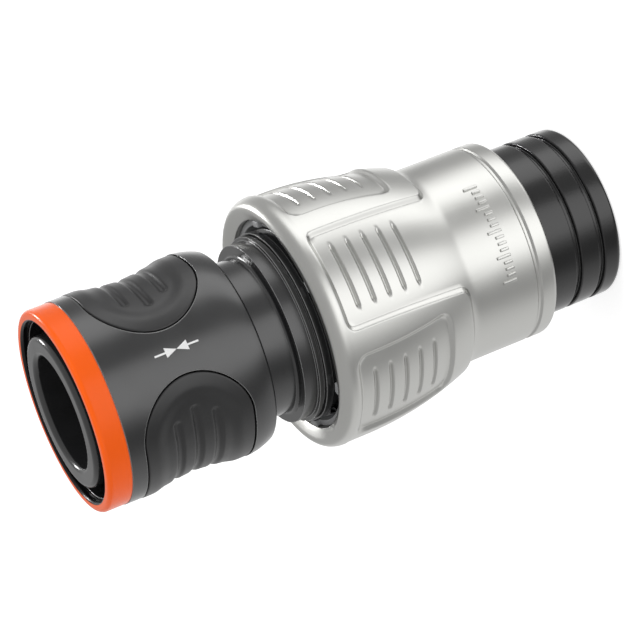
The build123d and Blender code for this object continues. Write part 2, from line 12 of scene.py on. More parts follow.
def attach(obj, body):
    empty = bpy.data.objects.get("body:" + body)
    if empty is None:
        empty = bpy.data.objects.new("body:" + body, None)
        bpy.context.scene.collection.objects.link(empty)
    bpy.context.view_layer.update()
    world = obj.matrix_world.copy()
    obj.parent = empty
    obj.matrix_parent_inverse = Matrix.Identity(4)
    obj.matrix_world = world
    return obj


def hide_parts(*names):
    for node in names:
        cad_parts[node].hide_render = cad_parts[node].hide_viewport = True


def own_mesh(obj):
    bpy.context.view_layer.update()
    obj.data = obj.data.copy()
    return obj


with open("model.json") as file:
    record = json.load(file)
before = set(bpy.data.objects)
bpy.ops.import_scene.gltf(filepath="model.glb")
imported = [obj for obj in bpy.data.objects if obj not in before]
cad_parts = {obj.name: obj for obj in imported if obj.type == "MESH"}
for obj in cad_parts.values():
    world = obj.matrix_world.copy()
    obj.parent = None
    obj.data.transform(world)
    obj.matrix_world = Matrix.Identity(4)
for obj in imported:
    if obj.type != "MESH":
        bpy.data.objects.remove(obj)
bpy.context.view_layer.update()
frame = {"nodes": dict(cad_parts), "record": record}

bl_info = {
    "name": "Hose quick coupling",
    "version": (1, 0, 0),
    "blender": (4, 5, 0),
    "location": "3D View > Sidebar > Coupling",
    "description": "Makes the visible pieces and the finishes of a hose quick coupling",
    "category": "Object",
}

MM = 0.001

# Sizes of the CAD model that the pieces follow
NUT_BOTTOM = 14.0
NUT_TOP = 56.7
BARREL_END = 28.8
BARREL_RADIUS = 21.6
BARREL_CREST = 50.1
BARREL_SWEEP = 59.404
BEAD_START = 53.2
BEAD_WIDEST = 54.1
BEAD_RADIUS = 21.7
LIP_OUTER = 20.0
REAR_RADIUS = 17.05
NUT_BORE = 18.05
CONE_TOP = 17.0
CONE_HEIGHT = 35.1
GUARD_BORE = 15.4
GUARD_SEAT = 16.1
GUARD_STOP_RADIUS = 14.9
RIM_TOP = 16.8
RIM_GROOVE_DEPTH = 0.35
THREAD_ROOT = 15.4
THREAD_BOTTOM = 44.1
THREAD_PITCH = 3.0
LINER_BOTTOM = 35.1
LINER_TOP = 54.9
STOP_TOP = 67.7
GUIDE_BOTTOM = 76.3
SEAT_TOP = 58.6
HEAD_BOTTOM = 67.65
PAD_CENTRE = 79.5
PAD_HALF = 9.49
PAD_SECTOR = 44.2
PAD_RADIUS = 17.3
PAD_FLOOR = 15.5
PAD_GROOVE_SPACING = 3.35
# Radius inside which the orange ring gets painted shade
RING_SHADE_RADIUS = 15.7

# The nut's grip panels and rim groove as the picture shows them. Three panels are channels that run out
# to the rear, and the three between them are closed insets
FIRST_CHANNEL = -87.9     # azimuth of a channel's middle
CHANNEL_HALF = 8.45
INSET_HALF = 8.95
INSET_LENGTH = 17.7
LAND_END = 30.5           # height where the lands between the channels begin
GROOVE_FIRST = 50.3       # height of the groove nearest the mouth
GROOVE_SPACING = 2.85
GROOVE_COUNT = 5
GROOVE_SPAN = 13.4        # half the angle that a groove spans
GROOVE_HALF = 0.46
RIM_GROOVE_WIDTH = 1.0

CORNER_STEPS = 5          # facets of a rounded corner in an outline
LAY_RADIUS = 20.0         # radius at which a printed mark is drawn before it is laid on the sleeve
RAY_RADIUS = 50.0         # radius from which the sleeve's skin is looked for
DOUBLES = 0.002           # vertices nearer than this are merged
EDGE_COSINES = (0.995, 0.85)    # between the softened and the true normal, at no edge and at a full one
CLOUD_SCALE = 140.0             # clouds of colour and shine in a metre
CLOUD_LEVELS = (0.3, 0.7)       # the range in which their noise mostly lies


# Sizes and colours that a user would change

class CouplingSizes(bpy.types.PropertyGroup):
    panel_depth: bpy.props.FloatProperty(
        name="Panel depth", description="Depth of the nut's grip panels under the lands",
        default=0.75 * MM, unit="LENGTH", subtype="DISTANCE")
    panel_wall: bpy.props.FloatProperty(
        name="Panel wall", description="Width of the sloped wall round a grip panel",
        default=0.75 * MM, unit="LENGTH", subtype="DISTANCE")
    groove_depth: bpy.props.FloatProperty(
        name="Groove depth", description="Depth of the narrow grooves in the grip panels",
        default=0.48 * MM, unit="LENGTH", subtype="DISTANCE")
    pad_dish: bpy.props.FloatProperty(
        name="Pad dish", description="Depth of the grip pads' dish at its middle",
        default=0.95 * MM, unit="LENGTH", subtype="DISTANCE")
    pad_groove: bpy.props.FloatProperty(
        name="Pad groove", description="Depth of the finger grooves in the grip pads",
        default=0.42 * MM, unit="LENGTH", subtype="DISTANCE")
    thread_crest: bpy.props.FloatProperty(
        name="Thread crest", description="Radius of the crest of the body's thread",
        default=16.1 * MM, unit="LENGTH", subtype="DISTANCE")
    tick_height: bpy.props.FloatProperty(
        name="Tick height", description="How far the tick scale stands out of the nut",
        default=0.22 * MM, unit="LENGTH", subtype="DISTANCE")


class CouplingColours(bpy.types.PropertyGroup):
    metal: bpy.props.FloatVectorProperty(
        name="Nut", description="Satin plated metal of the nut", size=3, subtype="COLOR",
        default=(0.59, 0.59, 0.568))
    dark_plastic: bpy.props.FloatVectorProperty(
        name="Sleeve and body", description="Dark moulded plastic", size=3, subtype="COLOR",
        default=(0.0135, 0.0137, 0.0143))
    orange: bpy.props.FloatVectorProperty(
        name="Ring", description="Orange plastic of the front ring", size=3, subtype="COLOR",
        default=(1.0, 0.12, 0.003))
    pad: bpy.props.FloatVectorProperty(
        name="Grip pads", description="Soft rubber of the grip pads", size=3, subtype="COLOR",
        default=(0.0125, 0.0125, 0.013))
    guard: bpy.props.FloatVectorProperty(
        name="Hose guard", description="Black rubber of the hose guard", size=3, subtype="COLOR",
        default=(0.0025, 0.0025, 0.0026))
    mark: bpy.props.FloatVectorProperty(
        name="Printed mark", description="White print on the sleeve", size=3, subtype="COLOR",
        default=(0.86, 0.86, 0.86))


class CouplingStage(bpy.types.PropertyGroup):
    key_power: bpy.props.FloatProperty(
        name="Key light", description="Power of the large soft lamp", default=3.6, unit="POWER")
    fill_power: bpy.props.FloatProperty(
        name="Fill light", description="Power of the soft lamp on the other side",
        default=1.8, unit="POWER")
    rim_power: bpy.props.FloatProperty(
        name="Rim light", description="Power of the lamp behind, which only reflections show",
        default=1.7, unit="POWER")
    sky: bpy.props.FloatProperty(
        name="Sky", description="Strength of the even light from all round", default=0.52)


# Meshes

def clear_selection():
    bpy.ops.object.select_all(action="DESELECT")


def select(pieces):
    """Selects these pieces alone, with the first of them active."""
    clear_selection()
    for piece in pieces:
        piece.select_set(True)
    bpy.context.view_layer.objects.active = pieces[0]


def edit(mode):
    bpy.ops.object.mode_set(mode=mode)


def edit_all():
    """Goes into edit mode with the whole mesh selected."""
    edit("EDIT")
    bpy.ops.mesh.select_all(action="SELECT")


def smooth_step(value):
    """0 below 0 and 1 above 1, with a smooth rise between."""
    value = min(max(value, 0.0), 1.0)
    return value * value * (3 - 2 * value)


def ladder(first, step, count):
    return [first + step * index for index in range(count)]


def rounded_outline(corners):
    """A closed outline whose corners (radius, height, rounding) are rounded, as a list of points."""
    points = []
    count = len(corners)
    for index, (radius, height, rounding) in enumerate(corners):
        corner = Vector((radius, height))
        if not rounding:
            points.append(corner)
            continue
        before = (Vector(corners[index - 1][:2]) - corner).normalized()
        after = (Vector(corners[(index + 1) % count][:2]) - corner).normalized()
        half = before.angle(after) / 2
        reach = rounding / math.tan(half)
        centre = corner + (before + after).normalized() * (rounding / math.sin(half))
        start = corner + before * reach - centre
        end = corner + after * reach - centre
        turn = start.angle_signed(end)
        for step in range(CORNER_STEPS + 1):
            points.append(centre + Matrix.Rotation(-turn * step / CORNER_STEPS, 2) @ start)
    return [(point.x, point.y) for point in points]


def outline_object(points):
    """A closed loop of edges through (radius, height) points, standing on the X axis, in edit mode."""
    clear_selection()
    bpy.ops.mesh.primitive_circle_add(vertices=len(points), radius=1)
    piece = bpy.context.object
    for vertex, (radius, height) in zip(piece.data.vertices, points):
        vertex.co = (radius * MM, 0, height * MM)
    edit_all()
    return piece


def tidy_shell():
    """Merges the doubles of the mesh in edit mode, points its faces outwards and leaves edit mode."""
    bpy.ops.mesh.select_all(action="SELECT")
    bpy.ops.mesh.remove_doubles(threshold=DOUBLES * MM)
    bpy.ops.mesh.normals_make_consistent(inside=False)
    edit("OBJECT")


def spun(points, steps):
    """A solid spun round the Z axis from a closed outline."""
    piece = outline_object(points)
    bpy.ops.mesh.spin(steps=steps, angle=2 * math.pi, center=(0, 0, 0), axis=(0, 0, 1))
    tidy_shell()
    return piece


def wound(points, half_turns, rise, steps=32):
    """A closed outline wound up the Z axis in half turns, with its two ends closed."""
    piece = outline_object(points)
    bpy.ops.mesh.edge_face_add()
    edit("OBJECT")
    screw = piece.modifiers.new("Winding", "SCREW")
    screw.angle = math.pi
    screw.iterations = half_turns
    screw.screw_offset = rise / half_turns * MM
    screw.steps = screw.render_steps = steps
    screw.use_merge_vertices = False
    bpy.ops.object.modifier_apply(modifier=screw.name)
    edit("EDIT")
    tidy_shell()
    return piece


def bevelled_block(size, bevel, segments, azimuth, radius, height):
    """A block with rounded edges, whose middle stands at a radius and a height in a direction."""
    clear_selection()
    bpy.ops.mesh.primitive_cube_add(size=1)
    block = bpy.context.object
    block.data.transform(Matrix.Diagonal((*[side * MM for side in size], 1)))
    edit_all()
    bpy.ops.mesh.bevel(offset=bevel * MM, segments=segments, affect="EDGES")
    edit("OBJECT")
    block.data.transform(Matrix.Rotation(math.radians(azimuth), 4, "Z")
                         @ Matrix.Translation((radius * MM, 0, height * MM)))
    return block


def shade(piece, angle):
    """Smooths a piece, apart from edges sharper than an angle."""
    select([piece])
    bpy.ops.object.shade_smooth_by_angle(angle=math.radians(angle))


def joined(pieces):
    select(pieces)
    bpy.ops.object.join()
    return bpy.context.object


def place(piece, name, body, slot, stands_for=(), finish=None):
    """Names a piece and gives it its body and the finish of its slot, and hides the CAD nodes it stands
    for.
    """
    piece.name = name
    piece.data.name = name
    piece.data.materials.clear()
    piece.data.materials.append(finish_of(finish or slot))
    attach(piece, body)
    if stands_for:
        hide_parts(*stands_for)


def lay_on(piece, node, lift):
    """Moves each vertex out along its radius until it stands a distance off a CAD node's skin."""
    skin = frame["nodes"][node]
    for vertex in piece.data.vertices:
        away = Vector((vertex.co.x, vertex.co.y, 0)).normalized()
        start = away * RAY_RADIUS * MM + Vector((0, 0, vertex.co.z))
        hit, point, _, _ = skin.ray_cast(start, -away)
        if not hit:
            raise RuntimeError(f"{piece.name} reaches past {node}")
        vertex.co = point + away * (lift + vertex.co.xy.length - LAY_RADIUS * MM)


# Shader groups

def group_sockets(group, inputs, outputs):
    for name, kind, value in inputs:
        socket = group.interface.new_socket(name=name, in_out="INPUT", socket_type=kind)
        socket.default_value = value
    for name, kind in outputs:
        group.interface.new_socket(name=name, in_out="OUTPUT", socket_type=kind)
    return group.nodes.new("NodeGroupInput"), group.nodes.new("NodeGroupOutput")


def ramp(tree, value, source, target=(0, 1)):
    """A value brought from one range to another, and held at its ends."""
    node = tree.nodes.new("ShaderNodeMapRange")
    node.inputs["From Min"].default_value, node.inputs["From Max"].default_value = source
    node.inputs["To Min"].default_value, node.inputs["To Max"].default_value = target
    tree.links.new(value, node.inputs["Value"])
    return node.outputs["Result"]


def colour_mix(tree, factor):
    mix = tree.nodes.new("ShaderNodeMix")
    mix.data_type = "RGBA"
    tree.links.new(factor, mix.inputs["Factor"])
    return mix


def product(tree, first, second):
    times = tree.nodes.new("ShaderNodeMath")
    times.operation = "MULTIPLY"
    tree.links.new(first, times.inputs[0])
    tree.links.new(second, times.inputs[1])
    return times.outputs[0]


def grain_group():
    """Fine moulded grain with slow cloudy variation, on Object coordinates."""
    group = bpy.data.node_groups.new("Grain", "ShaderNodeTree")
    source, result = group_sockets(
        group, [("Scale", "NodeSocketFloat", 4000.0), ("Stretch", "NodeSocketFloat", 1.0)],
        [("Height", "NodeSocketFloat"), ("Cloud", "NodeSocketFloat")])
    links = group.links
    place_on = group.nodes.new("ShaderNodeTexCoord")
    split = group.nodes.new("ShaderNodeSeparateXYZ")
    join = group.nodes.new("ShaderNodeCombineXYZ")
    fine = group.nodes.new("ShaderNodeTexNoise")
    fine.inputs["Detail"].default_value = 3.0
    cloud = group.nodes.new("ShaderNodeTexNoise")
    cloud.inputs["Scale"].default_value = CLOUD_SCALE
    cloud.inputs["Detail"].default_value = 4.0
    links.new(place_on.outputs["Object"], split.inputs[0])
    links.new(split.outputs["X"], join.inputs["X"])
    links.new(split.outputs["Y"], join.inputs["Y"])
    links.new(product(group, split.outputs["Z"], source.outputs["Stretch"]), join.inputs["Z"])
    links.new(join.outputs[0], fine.inputs["Vector"])
    links.new(source.outputs["Scale"], fine.inputs["Scale"])
    links.new(place_on.outputs["Object"], cloud.inputs["Vector"])
    links.new(fine.outputs["Fac"], result.inputs["Height"])
    links.new(cloud.outputs["Fac"], result.inputs["Cloud"])
    return group


def edge_group():
    """The softened normal of a moulded edge, and a mask that is 1 along the edges."""
    group = bpy.data.node_groups.new("Soft edges", "ShaderNodeTree")
    source, result = group_sockets(
        group, [("Radius", "NodeSocketFloat", 0.2 * MM)],
        [("Normal", "NodeSocketVector"), ("Edge", "NodeSocketFloat")])
    links = group.links
    bevel = group.nodes.new("ShaderNodeBevel")
    bevel.samples = 6
    shape = group.nodes.new("ShaderNodeNewGeometry")
    near = group.nodes.new("ShaderNodeVectorMath")
    near.operation = "DOT_PRODUCT"
    links.new(source.outputs["Radius"], bevel.inputs["Radius"])
    links.new(bevel.outputs["Normal"], near.inputs[0])
    links.new(shape.outputs["Normal"], near.inputs[1])
    links.new(bevel.outputs["Normal"], result.inputs["Normal"])
    links.new(ramp(group, near.outputs["Value"], EDGE_COSINES), result.inputs["Edge"])
    return group


GRAIN = grain_group()
SOFT_EDGES = edge_group()


def make_finish(name, colour, shine, metallic=0.0, specular=0.5, scale=4000.0, stretch=1.0,
                grain=0.05, depth=0.03, edge=0.2, wear_and_glint=0.12, cloud=0.12, tint=0.9):
    """A finish with grain, cloudy variation of colour and shine, and softened edges that are lightened
    by light wear and a painted highlight.

    shine is the roughness, scale the number of grains in a metre, stretch how much shorter they are
    along the axis, grain the strength of the bump and depth its height, edge the softened radius,
    wear_and_glint how much lighter the edges are, by a little wear and a painted highlight along them,
    cloud the change of roughness and tint that of the colour.
    """
    material = bpy.data.materials.new(name)
    material.use_nodes = True
    material.diffuse_color = (*colour, 1)
    tree = material.node_tree
    nodes, links = tree.nodes, tree.links
    shader = nodes["Principled BSDF"]
    shader.inputs["Metallic"].default_value = metallic
    shader.inputs["Specular IOR Level"].default_value = specular
    texture = nodes.new("ShaderNodeGroup")
    texture.node_tree = GRAIN
    texture.inputs["Scale"].default_value = scale
    texture.inputs["Stretch"].default_value = stretch
    edges = nodes.new("ShaderNodeGroup")
    edges.node_tree = SOFT_EDGES
    edges.inputs["Radius"].default_value = edge * MM
    shades = colour_mix(tree, texture.outputs["Cloud"])
    shades.inputs["A"].default_value = (*[channel * tint for channel in colour], 1)
    shades.inputs["B"].default_value = (*[min(channel / tint, 1) for channel in colour], 1)
    # Edges lighter by a little wear and a painted highlight along them
    rub_and_glint = colour_mix(tree, edges.outputs["Edge"])
    rub_and_glint.inputs["B"].default_value = (*[channel + (1 - channel) * wear_and_glint for channel in colour], 1)
    rough = ramp(tree, texture.outputs["Cloud"], CLOUD_LEVELS, (shine - cloud / 2, shine + cloud / 2))
    bump = nodes.new("ShaderNodeBump")
    bump.inputs["Strength"].default_value = grain
    bump.inputs["Distance"].default_value = depth * MM
    links.new(shades.outputs["Result"], rub_and_glint.inputs["A"])
    links.new(rub_and_glint.outputs["Result"], shader.inputs["Base Color"])
    links.new(rough, shader.inputs["Roughness"])
    links.new(texture.outputs["Height"], bump.inputs["Height"])
    links.new(edges.outputs["Normal"], bump.inputs["Normal"])
    links.new(bump.outputs["Normal"], shader.inputs["Normal"])
    return material


def paint_inner_shade(material, radius, colour, fade=0.08, share=1 / 3):
    """Paints shade on a finish nearer to the Z axis than a radius, darkening it to a share of another
    colour.
    """
    tree = material.node_tree
    nodes, links = tree.nodes, tree.links
    shader = nodes["Principled BSDF"]
    place_on = nodes.new("ShaderNodeTexCoord")
    flat = nodes.new("ShaderNodeVectorMath")
    flat.operation = "MULTIPLY"
    flat.inputs[1].default_value = (1, 1, 0)
    away = nodes.new("ShaderNodeVectorMath")
    away.operation = "LENGTH"
    mask = ramp(tree, away.outputs["Value"], ((radius - fade) * MM, radius * MM))
    shades = colour_mix(tree, mask)
    shades.inputs["A"].default_value = (*[channel * share for channel in colour], 1)
    links.new(shader.inputs["Base Color"].links[0].from_socket, shades.inputs["B"])
    links.new(place_on.outputs["Object"], flat.inputs[0])
    links.new(flat.outputs[0], away.inputs[0])
    links.new(shades.outputs["Result"], shader.inputs["Base Color"])


# The finish of each slot: its name, its colour or the setting that holds it, its roughness and the rest
FINISH_VALUES = {
    "satin_metal": ("Satin plating", "metal", 0.31, dict(
        metallic=1.0, scale=7000, grain=0.25, depth=0.006, edge=0.18, wear_and_glint=0.25, cloud=0.05, tint=0.97)),
    "dark_plastic": ("Dark moulding", "dark_plastic", 0.2, dict(
        specular=0.92, scale=5200, grain=0.35, depth=0.012, edge=0.24, wear_and_glint=0.26)),
    "orange_plastic": ("Orange moulding", "orange", 0.22, dict(
        specular=0.26, scale=3500, grain=0.2, depth=0.01, edge=0.25, wear_and_glint=0.3, cloud=0.08, tint=0.96)),
    "grip_rubber": ("Grip rubber", "pad", 0.36, dict(
        specular=0.6, scale=5200, grain=0.45, depth=0.016, edge=0.15, wear_and_glint=0.04)),
    "guard_rubber": ("Guard rubber", "guard", 0.13, dict(
        specular=0.66, scale=2600, grain=0.6, depth=0.014, edge=0.3, wear_and_glint=0.05)),
    "seal_rubber": ("Seal rubber", (0.012, 0.012, 0.012), 0.4, dict(scale=3000, edge=0.3, wear_and_glint=0.02)),
    "light_plastic": ("Light moulding", (0.33, 0.335, 0.34), 0.42, dict(
        scale=3600, grain=0.3, depth=0.015, wear_and_glint=0.08)),
    "spring_steel": ("Spring wire", (0.6, 0.6, 0.61), 0.3, dict(
        metallic=1.0, scale=2500, stretch=8, grain=0.2, depth=0.008, edge=0.1, wear_and_glint=0.1, cloud=0.08)),
    "valve_plastic": ("Valve moulding", (0.05, 0.051, 0.055), 0.4, dict(
        scale=4200, grain=0.4, depth=0.015, wear_and_glint=0.06)),
    "white_print": ("White print", "mark", 0.5, dict(
        scale=6000, grain=0.2, depth=0.01, edge=0.03, wear_and_glint=0.0, tint=0.95)),
}
FINISHES = {}


def finish_of(slot):
    """The finish of a material slot of the record, made when it is first asked for."""
    if slot not in FINISHES:
        name, colour, shine, values = FINISH_VALUES[slot]
        colours = bpy.context.scene.coupling_colours
        if isinstance(colour, str):
            colour = getattr(colours, colour)
        FINISHES[slot] = make_finish(name, colour, shine, **values)
        # The orange ring is painted dark near its bore: painted shade on its inner wall, also standing
        # for the dark sleeve spigot behind it
        if slot == "orange_plastic":
            paint_inner_shade(FINISHES[slot], RING_SHADE_RADIUS, colours.dark_plastic)
    return FINISHES[slot]


# Operators

class COUPLING_OT_stage(bpy.types.Operator):
    """The camera at the picture's angle, a white floor, soft lamps and an even sky"""
    bl_idname = "coupling.stage"
    bl_label = "Stage"

    # Bright and dim sectors of the studio below the horizon, which only reflections show: the angle,
    # from the side that faces the picture's camera, of the wall that mirrors the sector, and its level
    sectors = (
        (-90, 1.3), (-80, 0.85), (-70, 0.78), (-60, 0.82), (-50, 0.8), (-42, 0.7), (-36, 0.48),
        (-28, 0.33), (-20.5, 0.58), (-13.5, 1.3), (-5, 1.8), (3, 1.75), (10.5, 1.15), (17, 0.54),
        (22.5, 0.56), (29, 1.3), (37, 1.95), (45, 1.7), (54, 0.68), (62, 0.46), (71, 0.62),
        (82, 1.4), (90, 1.3),
    )
    sector_reach = 90       # the walls' last angle on each side
    tallest = 2.0           # above every sector's level
    facing = -98.2          # azimuth of the side that faces the picture's camera
    horizon = (0.01, -0.01)
    steep = (-0.87, -0.985)     # downward directions over which the sectors fade
    steep_level = 0.1           # what is left of them straight down

    lens_length = 146.7
    sensor_width = 36
    eye = (-0.05744, -0.39833, 0.19201)
    right = (-0.4085, -0.2553, -0.8763)
    forward = (0.1313, 0.9336, -0.3332)

    floor_size = 6
    paper_colour = 0.82
    paper_lift = 0.6        # what the camera sees on top of the lit paper, so that it shows white

    # Name, power, width, place and the rays that don't meet it, of each lamp
    lamps = (
        ("key_lamp", "key_power", 0.6, (0.55, -0.35, 0.6), "visible_glossy"),
        ("fill_lamp", "fill_power", 0.8, (-0.6, -0.4, 0.45), "visible_glossy"),
        ("rim_lamp", "rim_power", 0.13, (0.52, 0.48, 0.4), "visible_diffuse"),
    )
    lamp_target = (0, 0, 0.045)

    def execute(self, context):
        scene = context.scene
        settings = scene.coupling_stage
        scene.view_settings.view_transform = "Standard"
        self.camera(scene)
        self.floor()
        self.sky(scene, settings.sky)
        for name, power, size, spot, unmet in self.lamps:
            setattr(self.lamp(name, getattr(settings, power), size, spot), unmet, False)
        return {"FINISHED"}

    def camera(self, scene):
        lens = bpy.data.cameras.new("camera")
        lens.lens = self.lens_length
        lens.sensor_width = self.sensor_width
        lens.clip_start = 0.01
        camera = bpy.data.objects.new("camera", lens)
        scene.collection.objects.link(camera)
        right = Vector(self.right).normalized()
        forward = Vector(self.forward).normalized()
        up = right.cross(forward)
        turn = Matrix((right, up, -forward)).transposed()
        camera.matrix_world = Matrix.Translation(self.eye) @ turn.to_4x4()
        scene.camera = camera

    def floor(self):
        """A sheet of pale paper that keeps the object's shadow and isn't mirrored in it."""
        clear_selection()
        bpy.ops.mesh.primitive_plane_add(size=self.floor_size)
        floor = bpy.context.object
        floor.name = "floor"
        material = bpy.data.materials.new("white_floor")
        material.use_nodes = True
        nodes, links = material.node_tree.nodes, material.node_tree.links
        nodes.clear()
        result = nodes.new("ShaderNodeOutputMaterial")
        paper = nodes.new("ShaderNodeBsdfDiffuse")
        paper.inputs["Color"].default_value = (*[self.paper_colour] * 3, 1)
        lift = nodes.new("ShaderNodeEmission")
        lift.inputs["Strength"].default_value = self.paper_lift
        bright = nodes.new("ShaderNodeAddShader")
        path = nodes.new("ShaderNodeLightPath")
        seen = nodes.new("ShaderNodeMixShader")
        links.new(paper.outputs[0], bright.inputs[0])
        links.new(lift.outputs[0], bright.inputs[1])
        links.new(path.outputs["Is Camera Ray"], seen.inputs["Fac"])
        links.new(paper.outputs[0], seen.inputs[1])
        links.new(bright.outputs[0], seen.inputs[2])
        links.new(seen.outputs[0], result.inputs["Surface"])
        floor.data.materials.append(material)
        floor.visible_glossy = False

    def sky(self, scene, strength):
        """An even sky, with sectors under the horizon for reflections and white behind the object."""
        world = bpy.data.worlds.new("even_sky")
        scene.world = world
        world.use_nodes = True
        world.cycles.sampling_method = "NONE"
        tree = world.node_tree
        nodes, links = tree.nodes, tree.links
        even = nodes["Background"]
        even.inputs["Color"].default_value = (1, 1, 1, 1)
        path = nodes.new("ShaderNodeLightPath")
        direction = nodes.new("ShaderNodeTexCoord").outputs["Generated"]
        split = nodes.new("ShaderNodeSeparateXYZ")
        links.new(direction, split.inputs[0])
        under = ramp(tree, split.outputs["Z"], self.horizon)
        faded = ramp(tree, split.outputs["Z"], self.steep, (1, self.steep_level))
        mirrored = product(tree, under, path.outputs["Is Glossy Ray"])
        pattern = product(tree, self.sector_pattern(tree, direction), faded)
        level = nodes.new("ShaderNodeMix")
        level.inputs["A"].default_value = strength
        links.new(mirrored, level.inputs["Factor"])
        links.new(pattern, level.inputs["B"])
        behind = nodes.new("ShaderNodeMix")
        behind.inputs["B"].default_value = 1.0
        links.new(path.outputs["Is Camera Ray"], behind.inputs["Factor"])
        links.new(level.outputs["Result"], behind.inputs["A"])
        links.new(behind.outputs["Result"], even.inputs["Strength"])

    def sector_pattern(self, tree, direction):
        """The level of the sector in a direction, as a smooth curve through the table."""
        nodes, links = tree.nodes, tree.links
        turned = nodes.new("ShaderNodeVectorRotate")
        turned.rotation_type = "Z_AXIS"
        turned.inputs["Angle"].default_value = -math.radians(self.facing)
        split = nodes.new("ShaderNodeSeparateXYZ")
        azimuth = nodes.new("ShaderNodeMath")
        azimuth.operation = "ARCTAN2"
        curve = nodes.new("ShaderNodeFloatCurve")
        curve.mapping.use_clip = False
        points = curve.mapping.curves[0].points
        spots = [((degrees + self.sector_reach) / (2 * self.sector_reach), level / self.tallest)
                 for degrees, level in self.sectors]
        points[0].location = spots[0]
        for spot in spots[1:-1]:
            points.new(*spot)
        points[-1].location = spots[-1]
        curve.mapping.update()
        links.new(direction, turned.inputs["Vector"])
        links.new(turned.outputs["Vector"], split.inputs[0])
        links.new(split.outputs["Y"], azimuth.inputs[0])
        links.new(split.outputs["X"], azimuth.inputs[1])
        links.new(ramp(tree, azimuth.outputs[0], (-math.pi, math.pi)), curve.inputs["Value"])
        return ramp(tree, curve.outputs["Value"], (0, 1), (0, self.tallest))

    def lamp(self, name, power, size, spot):
        lamp = bpy.data.lights.new(name, "AREA")
        lamp.energy = power
        lamp.size = size
        holder = bpy.data.objects.new(name, lamp)
        bpy.context.scene.collection.objects.link(holder)
        holder.location = spot
        aim = Vector(self.lamp_target) - Vector(spot)
        holder.rotation_euler = aim.to_track_quat("-Z", "Y").to_euler()
        return holder


